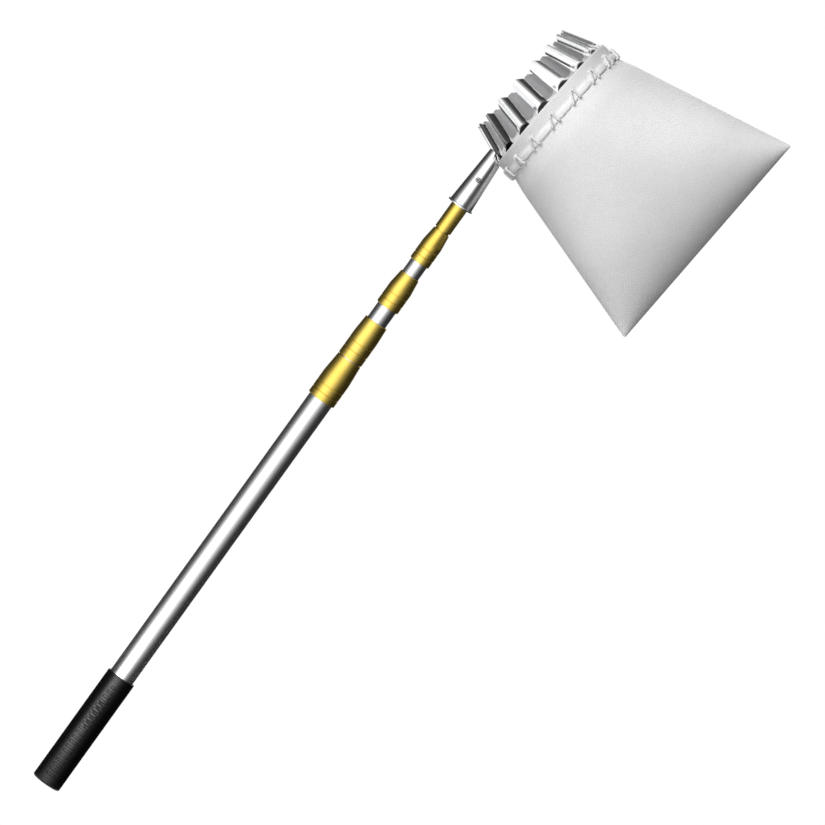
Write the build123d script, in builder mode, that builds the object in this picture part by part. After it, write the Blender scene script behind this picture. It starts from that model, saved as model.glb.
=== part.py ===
from build123d import *
import math
import os

os.makedirs("parts", exist_ok=True)

# Fruit picker on a telescopic pole, in millimetres. The pole stands along Z with the middle of the
# grip's butt at the origin. The picking fingers point along -X and the bag hangs off along +X.

# Grip
grip_length = 125.7
grip_wall = 2.1
grip_butt = 4.0
grip_butt_round = 1.6
grip_top_round = 0.8
pad_columns = 6
pad_rows = 20
pad_pitch = 5.4
pad_first_height = 11.1
pad_width = 9.4
pad_height = 2.9
pad_depth = 0.55
pad_narrowing = (0.4, 0.6, 0.8)

# Pole tubes, from the lowest and widest to the thinnest
tube_radius_lowest = 12.75
tube_wall = 0.8
tube_nest_gap = 0.45
tube_count = 4
nest_step = (32.0, 40.0, 38.0)
tube_showing = (329.5, 0.8, 17.8, 15.2)

# Twist locks, from the lowest to the top one
lock_height = (46.8, 43.7, 37.6, 36.8)
lock_straight = (25.3, 25.9, 21.7, 20.9)
lock_stand_out = (1.8, 1.55, 1.7, 1.45)
lock_top_wall = (1.4, 1.8, 1.05, 1.25)
lock_ring_height = (6.9, 8.9, 6.9, 6.9)
lock_groove_rise = (15.0, 17.8, 15.0, 15.0)
lock_groove_depth = 0.35
lock_groove_half_width = 0.4
lock_edge_chamfer = 0.35
lock_part_gap = 0.3
lock_cap_height = 3.0
lock_cone_room = 0.9
bush_wall = 0.5
bush_lip_height = 1.5
tube_end_below_taper = 1.0
collet_slot = 1.0
collet_root = 2.0
collet_end_room = 0.4
collet_squeeze_gap = 0.12
collet_foot_inset = 0.15

# Guide sleeves on the lower ends of the sliding tubes
guide_length = 44.0
guide_end = 6.0
guide_hole_step = 1.0

# Fits
fixed_fit = 0.03
running_fit = 0.08
thread_fit = 0.06
end_fit = 0.02
cap_hole_fit = 0.3
weld_gap = 0.05
cloth_fit = 0.05

# Spigot that carries the picking head
spigot_radius = 8.62
spigot_wall = 1.8
spigot_showing = 28.2
spigot_rise = 1.9
spigot_shank_gap = 0.8
spigot_shank_depth = 70.0
spigot_foot_height = 6.0
spigot_tip_chamfer = 0.8

# Socket
socket_wall = 1.0
socket_mouth_room = 2.63
socket_taper = 3.58
socket_lip_width = 1.2
socket_lip_height = 2.0
socket_lip_round = 0.6
screw_below_tip = 9.9
screw_radius = 1.5
screw_length = 7.0
screw_head_radius = 2.4
screw_head_height = 1.5
screw_head_round = 0.9
screw_slot_width = 0.7
screw_slot_length = 2.6
screw_slot_depth = 0.6
screw_hole_fit = 0.1

# Crown of picking fingers
crown_tilt = 5.2
crown_seat_x = 6.73
crown_rise = 56.5
finger_count = 16
finger_radius = 73.6
finger_sheet = 1.0
finger_width = 14.4
finger_ridge_width = 4.8
finger_flange_bend = 35.0
finger_lean = 20.0
finger_notch_sink = 2.2
finger_bend_rise = 6.0
finger_height = 38.0
finger_tip_flat = 4.4
finger_tip_chamfer_height = 4.8
finger_foot_depth = 16.0
finger_foot_gap = 0.15

# Hoop under the hem
hoop_sheet = 0.95
hoop_drop = 0.3
hoop_height = 17.2

# Hem of the bag
hem_cloth = 1.65
hem_swell = 0.7
hem_swell_start = 13.0
hem_swell_full = 15.0
hem_top_round = 0.5

# Bag
bag_cloth = 0.8
bag_tuck_top = 12.0
bag_tuck_bottom = 20.0
bag_flare_bottom = 23.0
bag_flare = 1.55
bag_bottom = 202.0
bag_bottom_width = 242.0
bag_levels = 12
bag_flat_turn = 0.002

# Lacing cord
cord_radius = 0.9
lacing_drop = 9.3
lacing_foot_drop = 20.8
lacing_strand_offset = 1.3
lacing_slant = 8.6
lacing_bend = 2.2
lacing_clear = 0.2
lacing_inner_clear = 0.3
eyelet_room = 0.4
pierce_room = 0.2
lacing_start_angle = 90.0
knot_radius = 1.7
knot_core = 0.8
cutter_room = 3.0

# Radii of the pole, each tube running in the bore of the one below it
tube_radius = []
for number in range(tube_count):
    tube_radius.append(tube_radius_lowest - number * (tube_wall + tube_nest_gap))
spigot_shank_radius = tube_radius[-1] - tube_wall - spigot_shank_gap
held_radius = tube_radius[1:] + [spigot_shank_radius]
grip_radius = tube_radius[0] + fixed_fit + grip_wall

# Heights of the locks and of both ends of each tube
tube_bottom = [grip_butt]
for step in nest_step:
    tube_bottom.append(tube_bottom[-1] + step)
lock_bottom = []
stack_height = grip_length
for number in range(tube_count):
    lock_bottom.append(stack_height + tube_showing[number])
    stack_height = lock_bottom[number] + lock_height[number]
tube_top = []
for number in range(tube_count):
    tube_top.append(lock_bottom[number] + lock_straight[number] - tube_end_below_taper)

# Heights along the spigot and the socket
shoulder_height = stack_height + spigot_rise
socket_mouth = shoulder_height + spigot_showing
socket_slope = math.tan(math.radians(socket_taper))
socket_mouth_radius = spigot_radius + socket_wall + socket_mouth_room
spigot_tip = socket_mouth + (socket_mouth_room - weld_gap) / socket_slope
screw_height = spigot_tip - screw_below_tip
shank_bottom = stack_height - spigot_shank_depth

# Frame of the crown: its axis points towards the finger tips, and one finger stands over the socket
tilt = math.radians(crown_tilt)
crown_up = Vector(-math.cos(tilt), 0, math.sin(tilt))
crown_out = Vector(math.sin(tilt), 0, math.cos(tilt))
crown_side = Vector(0, 1, 0)
crown_seat = Vector(crown_seat_x, 0, socket_mouth + crown_rise)
crown_centre = crown_seat + crown_out * finger_radius
crown_axis = Axis(crown_centre, crown_up)
finger_pitch = 360.0 / finger_count
half_pitch = finger_pitch / 2
finger_angles = [180.0 + finger_pitch * number for number in range(finger_count)]


def ring_way(angle):
    turn = math.radians(angle)
    return crown_out * math.cos(turn) + crown_side * math.sin(turn)


def ring_across(angle):
    turn = math.radians(angle)
    return crown_side * math.cos(turn) - crown_out * math.sin(turn)


def ring_point(radius, angle, height):
    return crown_centre + ring_way(angle) * radius + crown_up * height


def level_plane(height, angle=0.0):
    return Plane(crown_centre + crown_up * height, x_dir=ring_way(angle), z_dir=crown_up)


def profile_plane(angle):
    return Plane(crown_centre, x_dir=ring_way(angle), z_dir=ring_way(angle).cross(crown_up))


def wall_plane(radius, angle, height):
    return Plane(ring_point(radius, angle, height), x_dir=ring_across(angle), z_dir=ring_way(angle))


# Radii of the layers at the ring, from the fingers outwards
finger_inner = finger_radius - finger_sheet
hoop_inner = finger_radius + weld_gap
hoop_outer = hoop_inner + hoop_sheet
hem_inner = hoop_outer + cloth_fit
hem_outer = hem_inner + hem_cloth
hem_swell_radius = hem_outer + hem_swell
bag_tuck_radius = hem_inner
bag_ring_radius = bag_tuck_radius + bag_flare
lacing_outer = hem_swell_radius + cord_radius + lacing_clear
lacing_inner = finger_inner - cord_radius - lacing_inner_clear
eyelet_radius = lacing_strand_offset + cord_radius + eyelet_room
pierce_radius = cord_radius + pierce_room
hem_round = lacing_bend - cord_radius - lacing_clear
hem_round_centre = lacing_outer - lacing_bend
hem_round_drop = lacing_foot_drop - lacing_bend
cutter_from = lacing_inner - cutter_room
cutter_reach = lacing_outer - lacing_inner + 2 * cutter_room
eyelet_planes = [wall_plane(cutter_from, angle, -lacing_drop) for angle in finger_angles]

# Engraved pads of the grip: cells with a cylindrical floor, in columns, the topmost ones narrower
pad_turns = [math.degrees(pad_width / grip_radius)] * (pad_rows - len(pad_narrowing))
for narrowing in reversed(pad_narrowing):
    pad_turns.append(math.degrees(pad_width * narrowing / grip_radius))
pad_middle = grip_radius - pad_depth + (pad_depth + cutter_room) / 2
column_angles = [number * 360.0 / pad_columns - 90.0 for number in range(pad_columns)]

with BuildPart() as pad_cells:
    for angle in column_angles:
        for turn in sorted(set(pad_turns)):
            start = math.radians(angle - turn / 2)
            outward = Vector(math.cos(start), math.sin(start), 0)
            rows = [row for row in range(pad_rows) if pad_turns[row] == turn]
            with BuildSketch(Plane(Vector(0, 0, 0), x_dir=outward, z_dir=outward.cross(Vector(0, 0, 1)))):
                with Locations(*[(pad_middle, pad_first_height + row * pad_pitch) for row in rows]):
                    Rectangle(pad_depth + cutter_room, pad_height)
            revolve(axis=Axis.Z, revolution_arc=turn)

# Grip: rubber sleeve with a closed butt, pushed over the lowest tube
with BuildPart() as grip:
    with BuildSketch(Plane.XY):
        Circle(grip_radius)
    extrude(amount=grip_length)
    with BuildSketch(Plane.XY.offset(grip_butt)):
        Circle(tube_radius[0] + fixed_fit)
    extrude(amount=grip_length - grip_butt, mode=Mode.SUBTRACT)
    butt_edge = grip.faces().sort_by(Axis.Z)[0].edges()
    fillet(butt_edge, radius=grip_butt_round)
    top_edge = grip.faces().sort_by(Axis.Z)[-1].edges().sort_by(SortBy.RADIUS)[-1]
    fillet(top_edge, radius=grip_top_round)
    add(pad_cells.part, mode=Mode.SUBTRACT)
grip.part.label = "grip"
export_step(grip.part, "parts/grip.step")

# Four drawn tubes
for number in range(tube_count):
    with BuildPart() as tube:
        with BuildSketch(Plane.XY.offset(tube_bottom[number])):
            Circle(tube_radius[number])
            Circle(tube_radius[number] - tube_wall, mode=Mode.SUBTRACT)
        extrude(amount=tube_top[number] - tube_bottom[number])
    tube.part.label = f"tube_{number + 1}"
    export_step(tube.part, f"parts/tube_{number + 1}.step")

# Guide sleeves: a thin sleeve over the lower end of each sliding tube, with an end wall under it
for number in range(1, tube_count):
    sleeve_inner = tube_radius[number] + fixed_fit
    sleeve_outer = tube_radius[number - 1] - tube_wall - running_fit
    sleeve_hole = tube_radius[number] - tube_wall - guide_hole_step
    seat = tube_bottom[number] - end_fit
    with BuildPart() as guide_sleeve:
        with BuildSketch(Plane.XZ):
            with BuildLine():
                Polyline(
                    (sleeve_hole, seat - guide_end),
                    (sleeve_outer, seat - guide_end),
                    (sleeve_outer, seat + guide_length),
                    (sleeve_inner, seat + guide_length),
                    (sleeve_inner, seat),
                    (sleeve_hole, seat),
                    close=True,
                )
            make_face()
        revolve(axis=Axis.Z)
    guide_sleeve.part.label = f"guide_sleeve_{number + 1}"
    export_step(guide_sleeve.part, f"parts/guide_sleeve_{number + 1}.step")

# Twist locks: bush on the end of the lower tube, split collet on the bush, turning nut over both
for number in range(tube_count):
    base = lock_bottom[number]
    top = base + lock_height[number]
    split = base + lock_ring_height[number]
    tube_end = tube_top[number] + end_fit
    lip_top = tube_end + bush_lip_height
    tube_hole = tube_radius[number] + fixed_fit
    held_hole = held_radius[number] + running_fit
    bush_outer = tube_radius[number] + bush_wall
    nut_bore = bush_outer + thread_fit
    ring_outer = tube_radius[number] + lock_stand_out[number]
    nut_top_radius = held_radius[number] + lock_top_wall[number]
    cap_hole = held_radius[number] + cap_hole_fit
    cone_start = lip_top + lock_part_gap
    cone_end = top - lock_cap_height
    cone_top_radius = held_radius[number] + lock_cone_room
    groove = base + lock_groove_rise[number]
    chamfer_size = lock_edge_chamfer

    with BuildPart() as lock_bush:
        with BuildSketch(Plane.XZ):
            with BuildLine():
                Polyline(
                    (tube_hole, base),
                    (ring_outer - chamfer_size, base),
                    (ring_outer, base + chamfer_size),
                    (ring_outer, split - chamfer_size),
                    (ring_outer - chamfer_size, split),
                    (bush_outer, split),
                    (bush_outer, lip_top),
                    (held_hole, lip_top),
                    (held_hole, tube_end),
                    (tube_hole, tube_end),
                    close=True,
                )
            make_face()
        revolve(axis=Axis.Z)
    lock_bush.part.label = f"lock_bush_{number + 1}"
    export_step(lock_bush.part, f"parts/lock_bush_{number + 1}.step")

    collet_top = cone_end - collet_end_room
    with BuildPart() as collet:
        with BuildSketch(Plane.XZ):
            with BuildLine():
                Polyline(
                    (held_hole, lip_top),
                    (bush_outer - collet_foot_inset, lip_top),
                    (bush_outer - collet_foot_inset, cone_start),
                    (cone_top_radius - collet_squeeze_gap, collet_top),
                    (held_hole, collet_top),
                    close=True,
                )
            make_face()
        revolve(axis=Axis.Z)
        with BuildSketch(Plane.XY.offset(lip_top + collet_root)):
            Rectangle(2 * ring_outer, collet_slot)
            Rectangle(collet_slot, 2 * ring_outer)
        extrude(amount=lock_height[number], mode=Mode.SUBTRACT)
    collet.part.label = f"collet_{number + 1}"
    export_step(collet.part, f"parts/collet_{number + 1}.step")

    nut_bottom = split + lock_part_gap
    with BuildPart() as lock_nut:
        with BuildSketch(Plane.XZ):
            with BuildLine():
                Polyline(
                    (nut_bore, nut_bottom),
                    (ring_outer - chamfer_size, nut_bottom),
                    (ring_outer, nut_bottom + chamfer_size),
                    (ring_outer, groove - lock_groove_half_width),
                    (ring_outer - lock_groove_depth, groove),
                    (ring_outer, groove + lock_groove_half_width),
                    (ring_outer, base + lock_straight[number]),
                    (nut_top_radius, top - chamfer_size),
                    (nut_top_radius - chamfer_size, top),
                    (cap_hole, top),
                    (cap_hole, cone_end),
                    (cone_top_radius, cone_end),
                    (nut_bore, cone_start),
                    close=True,
                )
            make_face()
        revolve(axis=Axis.Z)
    lock_nut.part.label = f"lock_nut_{number + 1}"
    export_step(lock_nut.part, f"parts/lock_nut_{number + 1}.step")

# Spigot: turned neck whose shank is held in the top lock and whose nose wedges in the socket
spigot_bore = spigot_shank_radius - spigot_wall
shank_foot_radius = tube_radius[-1] - tube_wall - running_fit
screw_axis_plane = Plane(Vector(0, 0, screw_height), x_dir=(1, 0, 0), z_dir=(0, -1, 0))
with BuildPart() as spigot:
    with BuildSketch(Plane.XZ):
        with BuildLine():
            Polyline(
                (spigot_bore, shank_bottom),
                (shank_foot_radius, shank_bottom),
                (shank_foot_radius, shank_bottom + spigot_foot_height),
                (spigot_shank_radius, shank_bottom + spigot_foot_height),
                (spigot_shank_radius, shoulder_height),
                (spigot_radius, shoulder_height),
                (spigot_radius, spigot_tip - spigot_tip_chamfer),
                (spigot_radius - spigot_tip_chamfer, spigot_tip),
                (spigot_bore, spigot_tip),
                close=True,
            )
        make_face()
    revolve(axis=Axis.Z)
    with BuildSketch(screw_axis_plane):
        Circle(screw_radius + fixed_fit)
    extrude(amount=spigot_radius + cutter_room, mode=Mode.SUBTRACT)
spigot.part.label = "spigot"
export_step(spigot.part, "parts/spigot.step")

# Outline of a finger: upright foot, then a leaning three-facet channel with its ridge outwards
foot_turn = half_pitch - math.degrees(finger_foot_gap / finger_radius)
finger_half_turn = math.degrees(math.asin(finger_width / 2 / finger_radius))
notch_radius = finger_radius * math.sin(math.radians(half_pitch - finger_half_turn))
bend_height = notch_radius - finger_notch_sink
notch_turn_inner = math.degrees(math.asin(notch_radius / finger_inner))
edge_turn_outer = finger_half_turn
edge_turn_inner = half_pitch - notch_turn_inner
bend = math.radians(finger_flange_bend)
lean_slope = math.tan(math.radians(finger_lean))
sheet_across = finger_sheet / math.cos(math.radians(finger_lean))
ridge_half = finger_ridge_width / 2
ridge_half_inner = ridge_half - sheet_across * math.tan(bend / 2)
ridge_turn_outer = math.degrees(math.asin(ridge_half / finger_radius))
ridge_turn_inner = math.degrees(math.asin(ridge_half_inner / finger_inner))
flange_drop = (finger_width / 2 - ridge_half) * math.tan(bend)
foot_corners = []
for radius, turn in (
    (finger_radius, -edge_turn_outer),
    (finger_radius, -ridge_turn_outer),
    (finger_radius, ridge_turn_outer),
    (finger_radius, edge_turn_outer),
    (finger_inner, edge_turn_inner),
    (finger_inner, ridge_turn_inner),
    (finger_inner, -ridge_turn_inner),
    (finger_inner, -edge_turn_inner),
):
    foot_corners.append((radius * math.cos(math.radians(turn)), radius * math.sin(math.radians(turn))))
channel_heights = (bend_height + finger_bend_rise, finger_height)
channel_radii = [finger_radius - (height - bend_height) * lean_slope for height in channel_heights]
finger_edge = finger_width / 2
edge_shift = sheet_across * math.sin(bend)
edge_sink = sheet_across * math.cos(bend)
gable_slope = finger_tip_chamfer_height / (finger_edge - finger_tip_flat / 2)
gable_reach = finger_edge + cutter_room
gable_foot = finger_height - (gable_reach - finger_tip_flat / 2) * gable_slope

# Socket: tapered ferrule with a lip, its end cut to lie against the first finger and the hem
socket_top = socket_mouth + crown_rise + 2 * notch_radius
socket_top_radius = socket_mouth_radius - (socket_top - socket_mouth) * socket_slope
lip_radius = socket_mouth_radius + socket_lip_width
saddle_reach = socket_mouth_radius + cutter_room
saddle_drop_foot = finger_radius - math.sqrt(finger_radius**2 - finger_edge**2)
saddle_slope_foot = saddle_drop_foot / (finger_edge - ridge_half)
saddle_depth = finger_radius - 2 * saddle_reach
with BuildPart() as socket:
    with BuildSketch(Plane.XZ):
        with BuildLine():
            Polyline(
                (socket_mouth_radius - socket_wall, socket_mouth),
                (lip_radius, socket_mouth),
                (lip_radius, socket_mouth + socket_lip_height),
                (socket_mouth_radius - socket_lip_height * socket_slope, socket_mouth + socket_lip_height),
                (socket_top_radius, socket_top),
                (socket_top_radius - socket_wall, socket_top),
                close=True,
            )
        make_face()
    revolve(axis=Axis.Z)
    lip_edges = socket.edges().filter_by(GeomType.CIRCLE).group_by(SortBy.RADIUS)[-1]
    fillet(lip_edges, radius=socket_lip_round)
    with BuildSketch(level_plane(-lacing_foot_drop)):
        Circle(hem_swell_radius + weld_gap)
    extrude(amount=lacing_foot_drop + weld_gap, mode=Mode.SUBTRACT)
    with BuildSketch(level_plane(0)):
        Circle(finger_radius + weld_gap)
    extrude(amount=bend_height, mode=Mode.SUBTRACT)
    saddle_levels = (bend_height,) + channel_heights
    saddle_radii = [finger_radius] + channel_radii
    saddle_slopes = (saddle_slope_foot, math.tan(bend), math.tan(bend))
    for level, radius, slope in zip(saddle_levels, saddle_radii, saddle_slopes):
        crest = radius + weld_gap
        skirt = crest - (saddle_reach - ridge_half) * slope
        with BuildSketch(level_plane(level, finger_angles[0])):
            with BuildLine():
                Polyline(
                    (saddle_depth, -saddle_reach),
                    (skirt, -saddle_reach),
                    (crest, -ridge_half),
                    (crest, ridge_half),
                    (skirt, saddle_reach),
                    (saddle_depth, saddle_reach),
                    close=True,
                )
            make_face()
    loft(ruled=True, mode=Mode.SUBTRACT)
    with BuildSketch(screw_axis_plane):
        Circle(screw_radius + screw_hole_fit)
    extrude(amount=socket_mouth_radius + cutter_room, mode=Mode.SUBTRACT)
socket.part.label = "socket"
export_step(socket.part, "parts/socket.step")

# Screw: dome head with a cross slot, through the socket's wall into the spigot
screw_seat = socket_mouth_radius - (screw_height - screw_head_radius - socket_mouth) * socket_slope
screw_plane = Plane(Vector(0, -screw_seat, screw_height), x_dir=(1, 0, 0), z_dir=(0, -1, 0))
with BuildPart() as socket_screw:
    with BuildSketch(screw_plane):
        Circle(screw_head_radius)
    extrude(amount=screw_head_height)
    dome_edge = socket_screw.faces().sort_by(Axis.Y)[0].edges()
    fillet(dome_edge, radius=screw_head_round)
    with BuildSketch(screw_plane.offset(screw_head_height - screw_slot_depth)):
        Rectangle(screw_slot_length, screw_slot_width)
        Rectangle(screw_slot_width, screw_slot_length)
    extrude(amount=screw_head_height, mode=Mode.SUBTRACT)
    with BuildSketch(screw_plane):
        Circle(screw_radius)
    extrude(amount=-screw_length)
socket_screw.part.label = "socket_screw"
export_step(socket_screw.part, "parts/socket_screw.step")

# Sixteen stamped fingers, their feet side by side inside the hoop
for number in range(finger_count):
    angle = finger_angles[number]
    with BuildPart() as finger:
        with BuildSketch(profile_plane(angle - foot_turn)):
            with BuildLine():
                Polyline(
                    (finger_inner, -finger_foot_depth),
                    (finger_radius, -finger_foot_depth),
                    (finger_radius, bend_height),
                    (finger_inner, bend_height),
                    close=True,
                )
            make_face()
        revolve(axis=crown_axis, revolution_arc=2 * foot_turn)
        notch_planes = [
            wall_plane(cutter_from, angle - half_pitch, bend_height),
            wall_plane(cutter_from, angle + half_pitch, bend_height),
        ]
        with BuildSketch(*notch_planes):
            Circle(notch_radius)
        extrude(amount=cutter_reach, mode=Mode.SUBTRACT)
        with BuildSketch(level_plane(bend_height, angle)):
            with BuildLine():
                Polyline(*foot_corners, close=True)
            make_face()
        for height, radius in zip(channel_heights, channel_radii):
            with BuildSketch(level_plane(height, angle)):
                with BuildLine():
                    Polyline(
                        (radius - flange_drop, -finger_edge),
                        (radius, -ridge_half),
                        (radius, ridge_half),
                        (radius - flange_drop, finger_edge),
                        (radius - flange_drop - edge_sink, finger_edge - edge_shift),
                        (radius - sheet_across, ridge_half_inner),
                        (radius - sheet_across, -ridge_half_inner),
                        (radius - flange_drop - edge_sink, edge_shift - finger_edge),
                        close=True,
                    )
                make_face()
        loft(ruled=True)
        with BuildSketch(wall_plane(saddle_depth, angle, 0)):
            for side in (-1, 1):
                with BuildLine():
                    Polyline(
                        (side * finger_tip_flat / 2, finger_height),
                        (side * gable_reach, gable_foot),
                        (side * gable_reach, finger_height + cutter_room),
                        (side * finger_tip_flat / 2, finger_height + cutter_room),
                        close=True,
                    )
                make_face()
        extrude(amount=finger_radius - saddle_depth + cutter_room, mode=Mode.SUBTRACT)
        with BuildSketch(eyelet_planes[number]):
            Circle(eyelet_radius)
        extrude(amount=cutter_reach, mode=Mode.SUBTRACT)
    finger.part.label = f"finger_{number + 1:02d}"
    export_step(finger.part, f"parts/finger_{number + 1:02d}.step")

# Hoop: rolled steel band round the feet of the fingers, with an eyelet at each
with BuildPart() as hoop:
    with BuildSketch(level_plane(-hoop_drop - hoop_height)):
        Circle(hoop_outer)
        Circle(hoop_inner, mode=Mode.SUBTRACT)
    extrude(amount=hoop_height)
    with BuildSketch(*eyelet_planes):
        Circle(eyelet_radius)
    extrude(amount=cutter_reach, mode=Mode.SUBTRACT)
hoop.part.label = "hoop"
export_step(hoop.part, "parts/hoop.step")

# Hem: doubled cloth band over the hoop, swelling where the bag is turned up inside it
with BuildPart() as hem:
    with BuildSketch(profile_plane(0)):
        with BuildLine():
            Polyline(
                (hem_round_centre + hem_round, -hem_round_drop),
                (hem_swell_radius, -hem_swell_full),
                (hem_outer, -hem_swell_start),
                (hem_outer, -hem_top_round),
                (hem_outer - hem_top_round, 0),
                (hem_inner, 0),
                (hem_inner, cloth_fit - bag_tuck_top),
                (bag_tuck_radius + bag_cloth + cloth_fit, cloth_fit - bag_tuck_top),
                (bag_tuck_radius + bag_cloth + cloth_fit, -hem_round_drop - hem_round),
                (hem_round_centre, -hem_round_drop - hem_round),
            )
            ThreePointArc(
                (hem_round_centre, -hem_round_drop - hem_round),
                (
                    hem_round_centre + hem_round * math.sqrt(0.5),
                    -hem_round_drop - hem_round * math.sqrt(0.5),
                ),
                (hem_round_centre + hem_round, -hem_round_drop),
            )
        make_face()
    revolve(axis=crown_axis)
    with BuildSketch(*eyelet_planes):
        Circle(eyelet_radius)
    extrude(amount=cutter_reach, mode=Mode.SUBTRACT)
hem.part.label = "hem"
export_step(hem.part, "parts/hem.step")

# Stations of the lacing: two strands through each eyelet, both round the lower edge of the hem
strand_turn = math.degrees(lacing_strand_offset / hem_outer)
slant_turn = math.degrees(lacing_slant / hem_outer)
stitch_angles = [lacing_start_angle - finger_pitch * number for number in range(finger_count)]
pierce_planes = []
for angle in stitch_angles:
    pierce_planes.append(wall_plane(cutter_from, angle + strand_turn, -lacing_foot_drop))
    pierce_planes.append(wall_plane(cutter_from, angle - slant_turn, -lacing_foot_drop))

# Bag: two panels whose cross-section is an arc of cloth, a half circle at the ring and flat at the bottom
bag_sides = [(bag_tuck_top, bag_tuck_radius, math.pi / 2), (bag_tuck_bottom, bag_tuck_radius, math.pi / 2)]
for number in range(bag_levels + 1):
    share = 1 - (1 - number / bag_levels) ** 2
    drop = bag_flare_bottom + (bag_bottom - bag_flare_bottom) * share
    half_width = bag_ring_radius + (bag_bottom_width / 2 - bag_ring_radius) * share
    cloth_width = math.pi * bag_ring_radius + (bag_bottom_width - math.pi * bag_ring_radius) * share
    low = bag_flat_turn
    high = math.pi / 2
    for attempt in range(60):
        middle = (low + high) / 2
        if math.sin(middle) / middle > 2 * half_width / cloth_width:
            low = middle
        else:
            high = middle
    bag_sides.append((drop, cloth_width / 2 / high, high))

for name, side in (("bag_front", -1), ("bag_back", 1)):
    with BuildPart() as bag_panel:
        for drop, radius, turn in bag_sides:
            reach = radius * math.sin(turn)
            depth = radius * (1 - math.cos(turn))
            outer_reach = (radius + bag_cloth) * math.sin(turn)
            outer_edge = bag_cloth * math.cos(turn)
            with BuildSketch(level_plane(-drop)):
                with BuildLine():
                    ThreePointArc((-reach, 0), (0, side * depth), (reach, 0))
                    Line((reach, 0), (outer_reach, side * outer_edge))
                    ThreePointArc(
                        (outer_reach, side * outer_edge),
                        (0, side * (depth + bag_cloth)),
                        (-outer_reach, side * outer_edge),
                    )
                    Line((-outer_reach, side * outer_edge), (-reach, 0))
                make_face()
        loft(ruled=True)
        with BuildSketch(*pierce_planes):
            Circle(pierce_radius)
        extrude(amount=cutter_reach, mode=Mode.SUBTRACT)
    bag_panel.part.label = name
    export_step(bag_panel.part, f"parts/{name}.step")

# Lacing cord: one unbroken tube through all the eyelets, its ends tied in a knot inside the ring
cord_points = []
for angle in stitch_angles:
    upright = angle + strand_turn
    returning = angle - strand_turn
    slanted = angle - slant_turn
    cord_points.append(ring_point(lacing_inner, upright, -lacing_drop))
    cord_points.append(ring_point(lacing_outer, upright, -lacing_drop))
    cord_points.append(ring_point(lacing_outer, upright, -lacing_foot_drop))
    cord_points.append(ring_point(lacing_inner, upright, -lacing_foot_drop))
    cord_points.append(ring_point(lacing_inner, returning, -lacing_drop))
    cord_points.append(ring_point(lacing_outer, returning, -lacing_drop))
    cord_points.append(ring_point(lacing_outer, slanted, -lacing_foot_drop))
    cord_points.append(ring_point(lacing_inner, slanted, -lacing_foot_drop))
knot_way = (cord_points[0] - cord_points[-1]).normalized()
knot_middle = (cord_points[0] + cord_points[-1]) * 0.5
cord_start = knot_middle + knot_way * knot_core
cord_end = knot_middle - knot_way * knot_core
cord_route = [cord_start] + cord_points + [cord_end]

with BuildPart() as lacing_cord:
    with BuildLine() as cord_line:
        FilletPolyline(*cord_route, radius=lacing_bend)
    with BuildSketch(Plane(cord_start, z_dir=knot_way)):
        Circle(cord_radius)
    sweep(path=cord_line.wires()[0])
lacing_cord.part.label = "lacing_cord"
export_step(lacing_cord.part, "parts/lacing_cord.step")

with BuildPart() as lacing_knot:
    with BuildSketch(Plane(knot_middle, z_dir=knot_way)):
        with BuildLine():
            CenterArc((0, 0), knot_radius, -90, 180)
            Line((0, -knot_radius), (0, knot_radius))
        make_face()
    knot_spin = Plane(knot_middle, z_dir=knot_way)
    revolve(axis=Axis(knot_middle, knot_spin.y_dir))
    with BuildSketch(Plane(cord_start, z_dir=knot_way)):
        Circle(cord_radius + fixed_fit)
    extrude(amount=knot_radius, mode=Mode.SUBTRACT)
    with BuildSketch(Plane(cord_end, z_dir=knot_way)):
        Circle(cord_radius + fixed_fit)
    extrude(amount=-knot_radius, mode=Mode.SUBTRACT)
lacing_knot.part.label = "lacing_knot"
export_step(lacing_knot.part, "parts/lacing_knot.step")

# The cord's length, its volume against section times length, and the least gap between its strands
cord_wire = cord_line.wires()[0]
cord_length = cord_wire.length
cord_volume = math.pi * cord_radius**2 * cord_length
print(f"lacing cord: length {cord_length:.1f} mm, bend radius {lacing_bend} mm")
print(f"lacing cord: volume {lacing_cord.part.volume:.1f}, section times length {cord_volume:.1f}")
sample_step = cord_radius / 2
sample_span = 3 * cord_length / finger_count
sample_count = int(sample_span / sample_step)
samples = [cord_wire.position_at(sample_step * number / cord_length) for number in range(sample_count)]
apart = int(4 * lacing_bend / sample_step)
least = min(
    (samples[late] - samples[early]).length
    for early in range(sample_count)
    for late in range(early + apart, sample_count)
)
print(f"lacing cord: least gap between strands {least - 2 * cord_radius:.2f} mm")
print(f"tube tops {[round(value, 2) for value in tube_top]}")
print(f"crown centre {crown_centre}, spigot tip {spigot_tip:.2f}, screw height {screw_height:.2f}")
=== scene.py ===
import math

import bpy
from mathutils import Matrix, Vector
from mathutils import noise as field


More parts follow.
